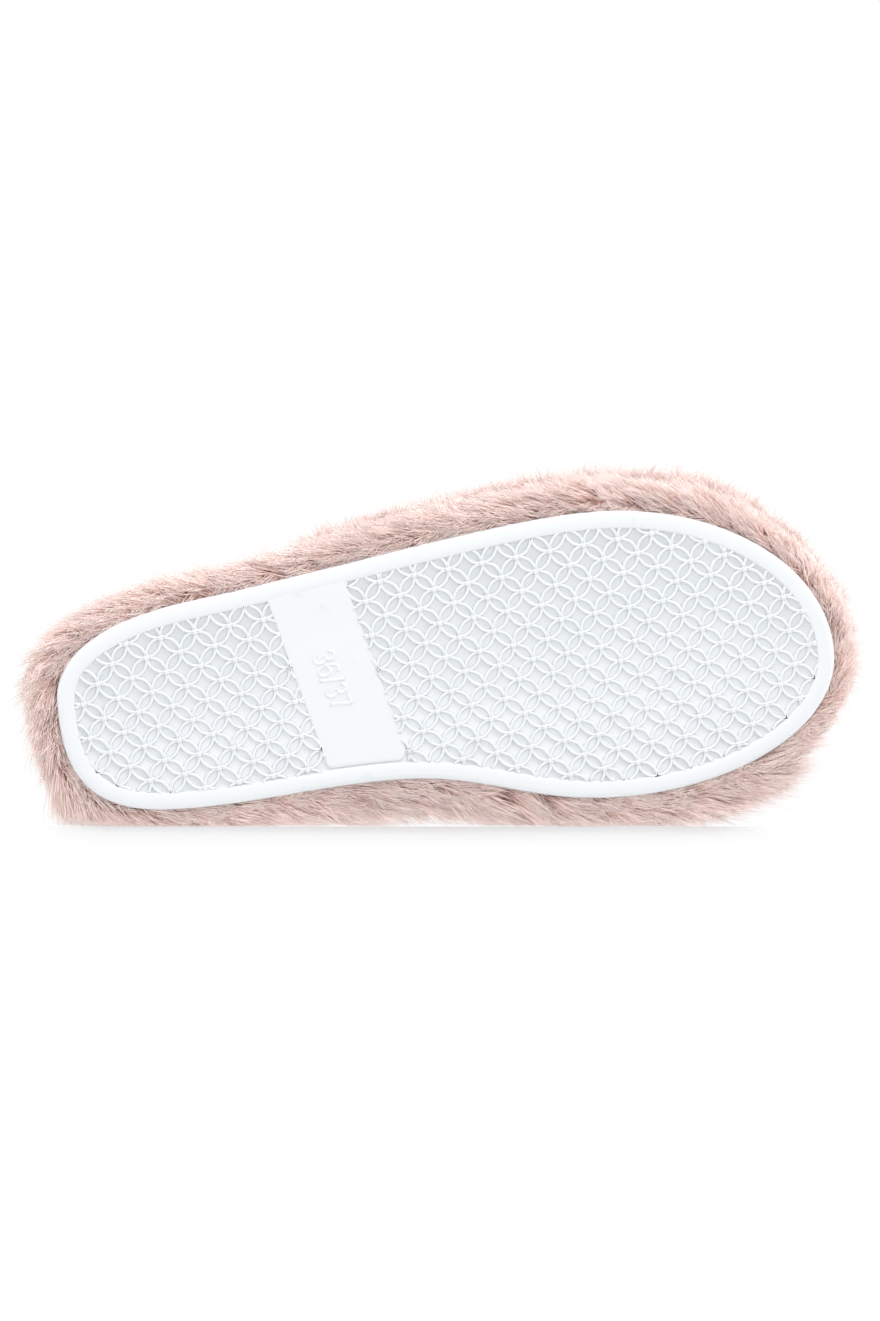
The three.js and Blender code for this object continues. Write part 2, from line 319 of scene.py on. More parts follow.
def panel_line(x, side):
    """Where the waist panel's toe or heel edge (side -1 or 1) lies at x."""
    return PANEL_MIDDLE - math.tan(PANEL_SLANT) * x + side * PANEL_WIDTH / 2 / math.cos(PANEL_SLANT)


def raised_lines(name, lines, width, low, high):
    """One piece from many raised lines, each a closed body of its own with steep sides and a
    rounded top, seen from under the sole."""
    half = [(0.84, low), (0.62, high + 0.5 * (low - high)), (0.42, high + 0.09), (0.2, high)]
    section = [(-across, height) for across, height in half] + half[::-1]
    points, quads, ends, total = [], [], [], 0
    for line in lines:
        out = square_to(unit(np.gradient(line, axis=0))) * width
        rings = np.stack([at_height(line + out * across, height) for across, height in section], axis=1)
        count, size = rings.shape[:2]
        points.append(rings.reshape(-1, 3))
        quads.append(loft(rings)[:, ::-1] + total)
        for first, step in ((total, 1), (total + (count - 1) * size, -1)):
            ends += [[first + k, first + k + 1, first + size - 2 - k, first + size - 1 - k][::step]
                     for k in range(size // 2 - 1)]
        total += count * size
    return make_mesh(name, np.concatenate(points), np.concatenate(quads + [ends]), flat=len(ends))


def pattern_ways():
    """The two directions of the tread's square lattice."""
    way = np.array([math.cos(PATTERN_TURN), math.sin(PATTERN_TURN)])
    return way, np.array([-way[1], way[0]])


def tread_crossings():
    """A small rounded boss where four arcs meet, as the mould leaves it. A boss by the panel is
    smaller, and clears it."""
    a, b = pattern_ways()
    step = np.arange(-PATTERN_REACH, PATTERN_REACH + 1)
    spots = (PATTERN_NODE + (step[:, None, None] * a + step[None, :, None] * b)
             * PATTERN_PITCH).reshape(-1, 2)
    spots = spots[inside(spots, rim_line(-0.1))]
    clear = np.maximum(panel_line(spots[:, 0], -1) - spots[:, 1],
                       spots[:, 1] - panel_line(spots[:, 0], 1))
    spots, clear = spots[clear > 0.1], clear[clear > 0.1]
    room = np.clip(clear / BOSS_CLEARANCE, 0.4, 1)[:, None, None]
    sides = 12
    turn = np.arange(sides) / sides * 2 * math.pi
    rings = []
    for radius, height in BOSS_RINGS:
        radius = radius * (1 - 0.16 * np.cos(4 * turn))
        circle = np.stack([np.cos(turn + PATTERN_TURN), np.sin(turn + PATTERN_TURN)], axis=1)
        rings.append(at_height(spots[:, None, :] + circle * radius[:, None] * room, height))
    points = np.stack(rings, axis=1)
    top = (len(rings) - 1) * sides
    caps = ([(top, top + k, top + k + 1) for k in range(1, sides - 1)]
            + [(0, k + 1, k) for k in range(1, sides - 1)])
    first = (np.arange(len(spots)) * (top + sides))[:, None, None]
    quads = (loft(points[0])[None] + first).reshape(-1, 4)
    triangles = (np.array(caps)[None] + first).reshape(-1, 3)
    return make_mesh("outsole_tread_crossings", points, quads, triangles)


def tread_arcs():
    """Interlaced circles on a square lattice, four arcs to a circle, cut at the rim and the panel."""
    radius = PATTERN_PITCH / math.sqrt(2)
    a, b = pattern_ways()
    field = rim_line(0.25)
    lines = []
    reach = range(-PATTERN_REACH, PATTERN_REACH + 1)
    turns = np.linspace(0, math.pi / 2, 49)
    for i in reach:
        for j in reach:
            centre = PATTERN_NODE + (a * (i + 0.5) + b * (j + 0.5)) * PATTERN_PITCH
            if abs(centre[0]) > BALL_OUTER + 12 or abs(centre[1]) > SOLE_LENGTH / 2 + 11:
                continue
            for quarter in range(4):
                turn = turns + math.radians(45 + 90 * quarter)
                arc = centre + radius * (np.cos(turn)[:, None] * a + np.sin(turn)[:, None] * b)
                toe_side = arc[:, 1] < panel_line(arc[:, 0], -1) + 0.3
                heel_side = arc[:, 1] > panel_line(arc[:, 0], 1) - 0.3
                lines += kept_runs(arc, inside(arc, field) & (toe_side | heel_side))
    return lines


def kept_runs(arc, kept):
    """The stretches of an arc that stay, each with about one point to 0.7 mm."""
    runs = []
    ends = np.flatnonzero(np.diff(np.concatenate([[0], kept, [0]])))
    for start, stop in ends.reshape(-1, 2):
        if stop - start >= 4:
            count = max(3, int(round((stop - start) / 4)) + 1)
            runs.append(arc[np.round(np.linspace(start, stop - 1, count)).astype(int)])
    return runs


def waist_panel():
    """The smooth band across the waist. It runs into the rim on the outer side and ends in two
    rounded corners just inside the rim on the arch side."""
    rim = rim_line(0.0, 2)
    half, middle = PANEL_WIDTH / 2, np.array([0.0, PANEL_MIDDLE])

    def end_at(offset, inner):
        """How far along the band the rim's inner line lies, at one offset across it."""
        run, off = (rim - middle) @ PANEL_ALONG, (rim - middle) @ PANEL_ACROSS
        side = run > 0 if inner else run < 0
        return run[side][np.argmin(np.abs(off[side] - offset))]

    # The panel's side wall, as reach past its edge and height, from the floor up to its face.
    wall_reach = np.array([0.28, 0.22, 0.12, -0.05])
    wall = [TREAD_DEPTH + 0.3, PANEL_DEPTH + 0.5, PANEL_DEPTH + 0.12, PANEL_DEPTH]
    rows = 41
    offsets = np.concatenate([-half - wall_reach, np.linspace(-half + 0.6, half - 0.6, rows),
                              half + wall_reach[::-1]])
    heights = np.concatenate([wall, np.full(rows, PANEL_DEPTH), wall[::-1]])
    columns = []
    for offset, height in zip(offsets, heights):
        inner = end_at(offset, True) - 0.75
        outer = end_at(offset, False) - 1.2
        corner = PANEL_CORNER if offset < 0 else 1.2
        short = np.clip(abs(offset) - (half - corner), 0, corner)
        inner -= corner - math.sqrt(max(corner**2 - short**2, 0))
        far = np.array([0.0, 0.06, 0.16, 0.4])
        runs = np.concatenate([inner + 0.3 - far, inner - 1.0 - (inner - 1.0 - outer)
                               * np.linspace(0, 1, 60) ** 0.9])
        level = np.full(len(runs), height)
        level[:4] = np.maximum(level[:4], wall)
        # Towards the outer side the face rises to meet the rim.
        share = eased(ramp(runs, outer, 16.0))
        face = PANEL_DEPTH * share + 0.02 * (1 - share)
        level = np.where(level <= PANEL_DEPTH + 0.01, face, level)
        columns.append(at_height(middle + runs[:, None] * PANEL_ALONG + offset * PANEL_ACROSS, level))
    top = np.stack(columns)
    floor = top.copy()
    floor[:, :, 2] = TREAD_DEPTH + 0.6
    return shell_between("outsole_waist_panel", top, floor)


def curve_through(knots, steps):
    """A smooth line through knots (Catmull-Rom)."""
    knots = np.array(knots, float)
    padded = np.concatenate([[2 * knots[0] - knots[1]], knots, [2 * knots[-1] - knots[-2]]])
    line = []
    for k in range(len(knots) - 1):
        p0, p1, p2, p3 = padded[k:k + 4]
        for t in np.linspace(0, 1, steps, endpoint=False):
            line.append(0.5 * (2 * p1 + (p2 - p0) * t + (2 * p0 - 5 * p1 + 4 * p2 - p3) * t**2
                               + (3 * p1 - p0 - 3 * p2 + p3) * t**3))
    line.append(knots[-1])
    return np.array(line)


def size_numerals():
    """The size, 36/37, as raised strokes that read from the outer side to the arch, their tops
    towards the toe."""
    three = [(0.1, 4.9), (0.8, 5.8), (2.0, 6.0), (3.1, 5.5), (3.4, 4.6), (2.8, 3.6), (1.6, 3.2),
             (2.9, 2.9), (3.7, 1.8), (3.3, 0.6), (2.0, 0.0), (0.7, 0.3), (0.0, 1.2)]
    six = [(3.5, 5.2), (2.6, 5.95), (1.4, 5.7), (0.4, 4.4), (0.1, 2.6), (0.4, 0.9), (1.8, 0.0),
           (3.2, 0.5), (3.7, 1.8), (3.2, 3.1), (2.0, 3.5), (0.8, 3.0), (0.25, 2.1)]
    seven_bar, seven_leg = [(0.0, 5.9), (1.8, 5.9), (3.6, 5.9)], [(3.6, 5.9), (2.3, 3.2), (1.4, 0.0)]
    slash = [(0.0, -0.5), (1.1, 3.0), (2.2, 6.5)]
    glyphs = [([three], 3.7), ([six], 3.7), ([slash], 2.2), ([three], 3.7),
              ([seven_bar, seven_leg], 3.6)]
    narrow, gap, tall = 0.84, 1.0, 1.1
    length = sum(width for _, width in glyphs) * narrow + gap * (len(glyphs) - 1)
    middle = np.array([-1.7, PANEL_MIDDLE + 2.4])
    start = middle - PANEL_ALONG * length / 2 + PANEL_ACROSS * 3.0 * tall
    lines, cursor = [], 0.0
    for strokes, width in glyphs:
        for stroke in strokes:
            fine = curve_through(stroke, 5)
            across, up = cursor + fine[:, :1] * narrow, fine[:, 1:] * tall
            lines.append(start + across * PANEL_ALONG - up * PANEL_ACROSS)
        cursor += width * narrow + gap
    return raised_lines("outsole_size_numerals", lines, NUMERAL_WIDTH, PANEL_DEPTH + 0.15,
                        PANEL_DEPTH - NUMERAL_RISE)


# ---- Pile

# Where along a fibre its rings stand, and how full it is there: the long pile's and the plush's.
FUR_STATIONS, FUR_GIRTH = (0.0, 0.4, 0.75), (1.0, 0.95, 0.62)
PLUSH_STATIONS, PLUSH_GIRTH = (0.0, 0.55), (1.0, 0.8)
FIBRES_PER_TUFT, FUR_WIDTH = 20, 0.28
PLUSH_PER_TUFT, PLUSH_WIDTH, PLUSH_SPREAD = 6, 0.26, 0.8
STRAY = 0.08
NO_LIMIT = 1e3

# The face that the slipper's arch side leans on: its direction, and its place in the frame and
# then on the last's own lines, where the pile begins to press on it.
SHELF_OUT = np.array([0.99096, 0.06298, -0.11849])
SHELF_FACE = 51.3
SHELF_AT = SHELF_FACE - 0.4 - SHELF_OUT @ SHIFT
PRESSED = 0.74


def pile(name, root, rise, lie, length, width, shade, split, stations=FUR_STATIONS,
         girth=FUR_GIRTH):
    """Tapered fibres, each a closed three-sided body. rise is a fibre's direction at its root and
    lie the one at its tip. The fibres are shared out over split pieces in the order they come in."""
    pieces = []
    for part, chosen in enumerate(np.array_split(np.arange(len(root)), split)):
        shares = (values[chosen] for values in (root, rise, lie, length, width, shade))
        pieces.append(fibres(f"{name}_{part + 1}", *shares, stations, girth))
    return pieces


def fibres(name, root, rise, lie, length, width, shade, stations, girth):
    """One piece of fibres. Its map runs from root to tip, with each fibre's shade across it."""
    reach = length[:, None]
    knee = root + rise * reach * 0.5
    tip = knee + lie * reach * 0.5
    side = unit(np.cross(rise, lie) + 1e-6)
    rings = []
    for t, share in zip(stations, girth):
        spot = root * (1 - t) ** 2 + 2 * knee * t * (1 - t) + tip * t**2
        heading = unit((knee - root) * (1 - t) + (tip - knee) * t)
        over = np.cross(side, heading)
        half = width[:, None] * share / 2
        for turn in (0.5, 2.6, 4.7):
            rings.append(spot + half * (math.cos(turn) * side + math.sin(turn) * over))
    points = leant_on_shelf(np.stack(rings + [tip], axis=1))
    size = 3 * len(stations) + 1
    first = (np.arange(len(root)) * size)[:, None]
    quads = np.stack([first + np.array([[3 * level + k, 3 * level + (k + 1) % 3,
                                         3 * level + 3 + (k + 1) % 3, 3 * level + 3 + k]])
                      for level in range(len(stations) - 1) for k in range(3)], axis=1)
    last = size - 4
    ends = [(last + k, last + (k + 1) % 3, last + 3) for k in range(3)] + [(2, 1, 0)]
    triangles = np.stack([first + np.array([end]) for end in ends], axis=1)
    # Each side of a fibre has its own small width on the map, and so has its root.
    u_of = np.array([0.0, 0.5, 1.0] * len(stations) + [0.5]) * 0.014
    v_of = np.array([t + (0.012 * k if t == 0 else 0) for t in stations for k in range(3)] + [1.0])
    u = 0.01 + 0.965 * shade[:, None] + u_of[None]
    v = np.broadcast_to(0.005 + 0.985 * v_of[None], u.shape)
    corner = np.stack([u, v], axis=-1).reshape(-1, 2)
    quads, triangles = quads.reshape(-1, 4), triangles.reshape(-1, 3)
    across = corner[np.concatenate([quads.ravel(), triangles.ravel()])]
    return make_mesh(name, points.reshape(-1, 3), quads, triangles, across)


def leant_on_shelf(points):
    """Presses pile that would pass the shelf flat against it."""
    past = points @ SHELF_OUT - SHELF_AT
    pressed = np.where(past > 0, past * PRESSED, 0.0)
    return points - pressed[..., None] * SHELF_OUT


def shelf_room(root, start, end):
    """How long each fibre may be before it presses on the shelf."""
    near = (SHELF_AT + 1.5 - root @ SHELF_OUT).clip(3.0)
    reach = 0.5 * (start + end) @ SHELF_OUT
    return np.where(reach > 0, near / np.maximum(reach, 1e-3), NO_LIMIT)


def trimmed(spot):
    """How long the pile is left: shorter round the toe's tip and along the heel's outer side."""
    x, y, _ = spot.T
    heel = ramp(y, 20, 25) * ramp(-y, -118, 20) * ramp(-x, 18, 8)
    return 1 - 0.32 * ramp(-y, 96, 22) - 0.22 * heel


def tufts(spot, out, nap, shade, length, count, spread, width, lean, gather, curl, ruffle,
          fit=None):
    """Fibres in tufts. spot, out, nap and shade give each tuft's place, the surface's outward
    direction, the way the pile lies and its shade. Every tuft has count fibres within about spread
    of its middle, and gather draws their tips together. lean bounds how far they lie over, curl
    turns a tuft's nap and ruffle bends it. fit may shorten them. Returns the fibres' roots,
    directions, lengths, widths and shades."""
    tufts_made = len(spot)
    side = unit(np.cross(out, nap))
    swing = chance.normal(0, curl, tufts_made)[:, None]
    nap = unit(nap * np.cos(swing) + side * np.sin(swing))
    side = unit(np.cross(out, nap))
    steep = chance.uniform(0.0, 1.0, tufts_made)
    tall = length * (1 + chance.normal(0, 0.12, tufts_made)).clip(0.65, 1.3)
    bend = chance.normal(0, ruffle, (tufts_made, 1)) * side
    whole = tufts_made * count
    pick = np.repeat(np.arange(tufts_made), count)
    a, b = chance.normal(0, spread, whole), chance.normal(0, spread, whole)
    off = nap[pick] * a[:, None] + side[pick] * b[:, None]
    lift = lean[0] + (lean[1] - lean[0]) * steep[pick][:, None] + chance.normal(0, 0.12, (whole, 1))
    start = unit(out[pick] + nap[pick] * lift - bend[pick] + chance.normal(0, STRAY, (whole, 3)))
    end = unit(out[pick] * 0.35 + nap[pick] * (lift + 0.35) + 2 * bend[pick]
               + chance.normal(0, 1.3 * STRAY, (whole, 3)))
    long = tall[pick] * (1 + chance.normal(0, 0.11, whole)).clip(0.5, 1.3)
    start, end = (unit(way * long[:, None] - off * gather) for way in (start, end))
    tone = (shade[pick] + chance.normal(0, 0.13, whole)).clip(0.02, 0.98)
    thick = width * chance.uniform(0.75, 1.25, whole)
    root = spot[pick] + off
    long = np.minimum(long, shelf_room(root, start, end))
    if fit is not None:
        long = fit(root, start, end, long)
    return root, start, end, long, thick, tone


# ---- Wrapper round the platform

# The wrapper's outer skin, from the fold under the platform, over the bulge, to its upper edge.
SKIN = np.array([(0.3, 5.6), (1.4, 5.5), (2.5, 6.2), (3.3, 8.0), (3.7, 11.0), (3.6, 14.5),
                 (3.0, 18.0), (1.9, 20.6), (0.6, 21.8)])
WRAPPER_TUFTS, WRAPPER_PILE = 4200, 12.5


def skin_at(share):
    """A point of the skin's profile and its outward direction, as reach and height."""
    run = run_along(SKIN)
    at = np.asarray(share) * run[-1]
    spot, ahead, back = (pairs_at(at + step, run, SKIN) for step in (0.0, 0.9, -0.9))
    return spot, square_to(unit(ahead - back))


def wrapper_cloth():
    """The strip's backing: a skin round the platform with its margins turned in."""
    run = np.linspace(JOIN_RUN + JOIN_GAP, JOIN_RUN + EDGE_LENGTH - JOIN_GAP, 600)
    rows = 15
    body, _ = skin_at(np.linspace(0, 1, rows))
    outer = np.concatenate([[(-WRAPPER_FOLD - 0.6, 5.4), (-4.0, 5.4), (-1.0, 5.4)], body])
    inner = np.concatenate([[(-WRAPPER_FOLD - 0.6, 6.7), (-4.0, 6.7), (-0.95, 6.8)],
                            np.stack([np.full(rows, -0.95), np.linspace(7.3, 21.7, rows)], axis=1)])
    ripple = 0.25 * np.sin(run / 6.1) + 0.2 * np.sin(run / 2.3 + 1.0)

    def grid(profile):
        lines = []
        for reach, height in profile:
            puff = ripple if reach > 1 else 0 * ripple
            lines.append(at_height(edge_spot(run, reach + puff), height))
        return np.stack(lines, axis=1)
    return shell_between("wrapper_backing_cloth", grid(outer), grid(inner))


def wrapper_pile():
    """Long pile on the strip. It lies along the strip, and parts where the strip's ends meet."""
    made = WRAPPER_TUFTS
    share = (np.arange(made) + chance.uniform(0, 1, made)) / made
    run = JOIN_RUN + 0.8 + (EDGE_LENGTH - 1.6) * share
    level = chance.uniform(0.0, 1.0, made)
    skin, bulge = skin_at(level)
    reach, height = skin.T
    flat = edge_out(run)
    spot = at_height(edge_spot(run, reach - 0.3), height)
    out = unit(np.concatenate([flat * bulge[:, :1], bulge[:, 1:]], axis=1))
    along = at_height(square_to(flat), 0.0)
    from_join = np.minimum(run - JOIN_RUN, JOIN_RUN + EDGE_LENGTH - run)
    droop = np.array([0, 0, 1.0]) * (0.15 + 0.45 * (level[:, None] - 0.45))
    # Beside the join the pile turns back, so that it parts there.
    turned = 1 - 1.9 * np.exp(-((run - JOIN_RUN) / 8.0) ** 2)
    nap = along_surface(along * turned[:, None] + droop, out)
    tall = (WRAPPER_PILE - 4.5 * np.exp(-from_join / 3.0)) * trimmed(spot)
    tall = tall * (0.72 + 0.28 * ramp(level, 0, 0.3))
    patch = 0.5 + 0.10 * np.sin(run / 9.0) + 0.07 * np.sin(run / 3.7 + 2)
    patch = patch + chance.normal(0, 0.17, made)
    # On the arch side the pile is left longer where it would stop short of the shelf.
    gap = SHELF_AT - spot @ SHELF_OUT
    tall = tall + 8.0 * ramp(gap, 5.5, 4.0) * ramp(-gap, -21.5, 3.0) * (spot[:, 0] > 0)
    tall = tall * (1 - 0.3 * np.exp(-from_join / 3.0))
    return tufts(spot, out, nap, patch, tall, FIBRES_PER_TUFT, 1.6, FUR_WIDTH, lean=(0.75, 1.65),
                 gather=0.42, curl=0.48, ruffle=0.2, fit=clear_of_floor)


def clear_of_floor(root, start, end, long):
    """Shortens fibres that would reach the floor."""
    def room(dip):
        """How long a fibre may be that sinks by dip for each millimetre."""
        return np.where(dip < 0, (root[:, 2] - 0.7) / np.maximum(-dip, 1e-3), NO_LIMIT)

    tip, knee = 0.5 * (start[:, 2] + end[:, 2]), 0.5 * start[:, 2]
    return np.minimum(long, np.minimum(room(tip), room(knee)))


# ---- Upper

UPPER_TUFTS, UPPER_PILE = 5800, 13.0


def form_point(side, level, rise):
    """A layer's point over its edge point side (n, 2), at a share of its full height."""
    outwards = unit(side - CROWN)
    fullness = SIDE_FULLNESS + (TOE_FULLNESS - SIDE_FULLNESS) * outwards[..., 1] ** 2
    share = np.clip(level, 0, 1)
    ellipse = np.maximum(1 - share**fullness, 0) ** (1 / fullness)
    bulge = 1 + SIDE_BULGE * np.sin(np.pi * share**0.7)
    spot = CROWN + (side - CROWN) * (ellipse * bulge)[..., None]
    height = INSIDE_HEIGHT + INSIDE_SLOPE * (spot[..., 1] - THROAT_PLACE) + rise
    return at_height(spot, SEAT + height * level)


def topline_place(height, setback=0.0):
    """How far along the sole the topline stands at a height over the floor."""
    top = SEAT + INSIDE_HEIGHT + TOPLINE_RISE
    t = np.linspace(0, 1, 200)
    place = WING_PLACE * (1 - t) ** 2 + 2 * TOPLINE_SAG[0] * t * (1 - t) + THROAT_PLACE * t**2
    up = UPPER_LOW * (1 - t) ** 2 + 2 * TOPLINE_SAG[1] * t * (1 - t) + top * t**2
    return np.interp(height, up, place) - setback


def upper_columns(count):
    """Places along the sole's edge from one wing of the upper, round the toe, to the other."""
    spots = edge_spot(EDGE_RUN, 3.0)
    back = spots[:, 1] > WING_PLACE - 1.2
    first = int(np.argmax(back))
    last = len(back) - 1 - int(np.argmax(back[::-1]))
    return np.linspace(EDGE_RUN[last + 1], EDGE_RUN[first - 1] + EDGE_LENGTH, count)


def top_level(run, rise, setback=0.0):
    """The share of the full height at which each column meets the topline."""
    side = upper_side(run, rise)
    low, high = np.zeros(len(run)), np.ones(len(run))
    for _ in range(26):
        half = (low + high) / 2
        spot = form_point(side, half, rise)
        front = spot[:, 1] < topline_place(spot[:, 2], setback)
        low, high = np.where(front, half, low), np.where(front, high, half)
    return low


def upper_side(run, rise):
    """The edge points that a layer of the upper stands over."""
    return edge_spot(run, rise - CAVITY_INSET)


def upper_grid(run, rise, low, rows, setback=0.0):
    """Points (columns, rows) of one skin of the upper, from a height over the floor to the topline."""
    side = upper_side(run, rise)
    top = top_level(run, rise, setback)
    start = (low - SEAT) / (INSIDE_HEIGHT + rise)
    step = np.linspace(0, 1, rows)
    grid = [form_point(side, start + (top - start) * share, rise) for share in step]
    return np.stack(grid, axis=1)


def upper_cloth():
    """The fur's backing, with its upper edge rolled over the foam towards the lining."""
    run = upper_columns(260)
    outer = upper_grid(run, FUR_FROM + FUR_SKIN, UPPER_LOW, 70)
    inner = upper_grid(run, FUR_FROM + 0.1, UPPER_LOW, 60, setback=2.2)
    up = unit(outer[:, -1] - outer[:, -4])
    roll = []
    for turn in np.linspace(0.15, 1.0, 10):
        rise = (FUR_FROM + FUR_SKIN) * (1 - turn) + FUR_SKIN * turn
        spot = form_point(upper_side(run, rise), top_level(run, rise), rise)
        roll.append(spot + up * TOPLINE_ROLL * math.sin(math.pi * turn))
    turned = [form_point(upper_side(run, rise), top_level(run, rise, 0.75), rise)
              for rise in (4.3, 3.2, FUR_SKIN)]
    outer = np.concatenate([outer, np.stack(roll, axis=1)], axis=1)
    inner = np.concatenate([inner, np.stack(turned, axis=1)], axis=1)
    inner = resampled(inner, outer.shape[1])
    return shell_between("upper_backing_cloth", outer, inner), outer


def resampled(grid, rows):
    """The same skin with another number of rows."""
    at = np.linspace(0, grid.shape[1] - 1, rows)
    low = np.minimum(np.floor(at).astype(int), grid.shape[1] - 2)
    share = (at - low)[None, :, None]
    return grid[:, low] * (1 - share) + grid[:, low + 1] * share


def upper_lining():
    """The lining, from the footbed to the topline, and its inner face for the plush."""
    run = upper_columns(220)
    outer = upper_grid(run, LINING_THICKNESS, LINING_LOW, 50)
    inner = upper_grid(run, 0.0, LINING_LOW, 50)
    return shell_between("upper_plush_lining", outer, inner), inner


def scatter(grid, made, source, rows=(0, 9999)):
    """Even random places on a grid of points, between two of its rows, with the direction away
    from source there, and how far along the rows they fall, as a share."""
    a, b, c = grid[:-1, :-1], grid[1:, :-1], grid[:-1, 1:]
    normal = np.cross(b - a, c - a)
    area = np.linalg.norm(normal, axis=-1)
    area[:, :rows[0]], area[:, rows[1]:] = 0, 0
    pick = chance.choice(area.size, made, p=area.ravel() / area.sum())
    i, j = np.unravel_index(pick, area.shape)
    s, t = chance.uniform(0, 1, (2, made, 1))
    spot = (grid[i, j] * (1 - s) * (1 - t) + grid[i + 1, j] * s * (1 - t)
            + grid[i, j + 1] * (1 - s) * t + grid[i + 1, j + 1] * s * t)
    out = unit(normal[i, j])
    out = out * np.sign(((spot - source) * out).sum(axis=1).mean())
    return spot, out, (j + t[:, 0]) / area.shape[1]


def middle_of(grid):
    """The mean of a grid of points."""
    return grid.reshape(-1, 3).mean(axis=0)


def upper_pile(grid):
    """Long pile over the vamp. It falls from the instep to the toe and the sides."""
    spot, out, up = scatter(grid, UPPER_TUFTS, middle_of(grid), rows=(1, 78))
    x, y, z = spot.T
    fall = np.stack([x * 0.006, 0.12 - 0.75 * eased(ramp(z, 30, 42)), np.full(len(x), -0.9)], axis=1)
    patch = 0.56 + 0.08 * np.sin(x / 8 + y / 11) + 0.06 * np.sin(y / 4.5 + z / 6)
    patch = patch + chance.normal(0, 0.1, len(x))
    edge = ramp(up, 0.8, 0.16)
    tall = UPPER_PILE - 5.5 * edge - (2.5 + 2.0 * edge) * (1 - ramp(z, 22, 16))
    return tufts(spot - out * 0.5, out, along_surface(fall, out), patch, tall * trimmed(spot),
                 FIBRES_PER_TUFT, 1.8, FUR_WIDTH, lean=(0.9, 1.7), gather=0.3, curl=0.3, ruffle=0.2)


# ---- Footbed and plush

FOOTBED_TUFTS, FOOTBED_PILE = 15000, 2.5
LINING_TUFTS, LINING_PILE = 12000, 2.4


def footbed_grid(reach, rows, height):
    """Rings from the footbed's edge to the line down its middle; height gives z from the share of
    the way in and the place."""
    edge = edge_ring(480, reach)
    spine_y = np.clip(edge[:, 1], -SOLE_LENGTH / 2 + 42, SOLE_LENGTH / 2 - 32)
    spine_x = np.interp(spine_y, [-85, 10, 90], [-3.5, -6.0, 3.0])
    spine = np.stack([spine_x, spine_y], axis=1)
    spots = [edge * (1 - share) + spine * share for share in rows]
    return np.stack([at_height(spot, height(share, spot)) for share, spot in zip(rows, spots)])


def footbed():
    """The plush-covered insole: a soft crowned edge, hollowed a little under heel and ball. Also
    returns its top for the plush."""
    def over(share, spot):
        edge = 1.5 * (1 - ramp(share, 0, 0.13)) ** 2.2
        heel = np.exp(-((spot[:, 0] - 3) / 20) ** 2 - ((spot[:, 1] - 85) / 26) ** 2)
        ball = np.exp(-((spot[:, 0] + 3) / 28) ** 2 - ((spot[:, 1] + 45) / 30) ** 2)
        return SEAT - edge - 0.55 * heel - 0.4 * ball

    def under(share, spot):
        return np.full(len(spot), FOOTBED_LOW) + 0.35 * max(0.0, 1 - share / 0.03)
    rows = np.concatenate([np.linspace(0, 0.16, 9), np.linspace(0.2, 1.0, 22)])
    top = footbed_grid(-0.2, rows, over)
    low = footbed_grid(-0.2, rows, under)
    rings = np.concatenate([low[::-1], top])
    return make_shell("footbed_plush_pad", rings, loft(rings).tolist(), merge=2e-5), top


def short_pile(grid, made, length, behind, source, side=1.0):
    """Short plush over a grid of points, further back than behind. It stands away from source, or
    towards it where side is negative."""
    spot, out, _ = scatter(grid, made, source)
    stays = spot[:, 1] > behind
    spot, out = spot[stays], out[stays] * side
    nap = along_surface(np.tile([0.1, 1.0, 0.05], (len(spot), 1)), out)
    tall = np.full(len(spot), length)
    patch = 0.5 + chance.normal(0, 0.06, len(spot))
    return tufts(spot - out * 0.2, out, nap, patch, tall, PLUSH_PER_TUFT, PLUSH_SPREAD, PLUSH_WIDTH,
                 lean=(0.3, 0.6), gather=0.1, curl=0.35, ruffle=0.1)


# ---- Finishes

class Wire:
    """One value in a finish, which sums and products can be made with."""

    def __init__(self, finish, socket):
        self.finish, self.socket = finish, socket

    def __add__(self, other):
        return self.finish.math("ADD", self, other)

    def __sub__(self, other):
        return self.finish.math("SUBTRACT", self, other)

    def __rsub__(self, other):
        return self.finish.math("SUBTRACT", other, self)

    def __mul__(self, other):
        return self.finish.math("MULTIPLY", self, other)

    __radd__, __rmul__ = __add__, __mul__


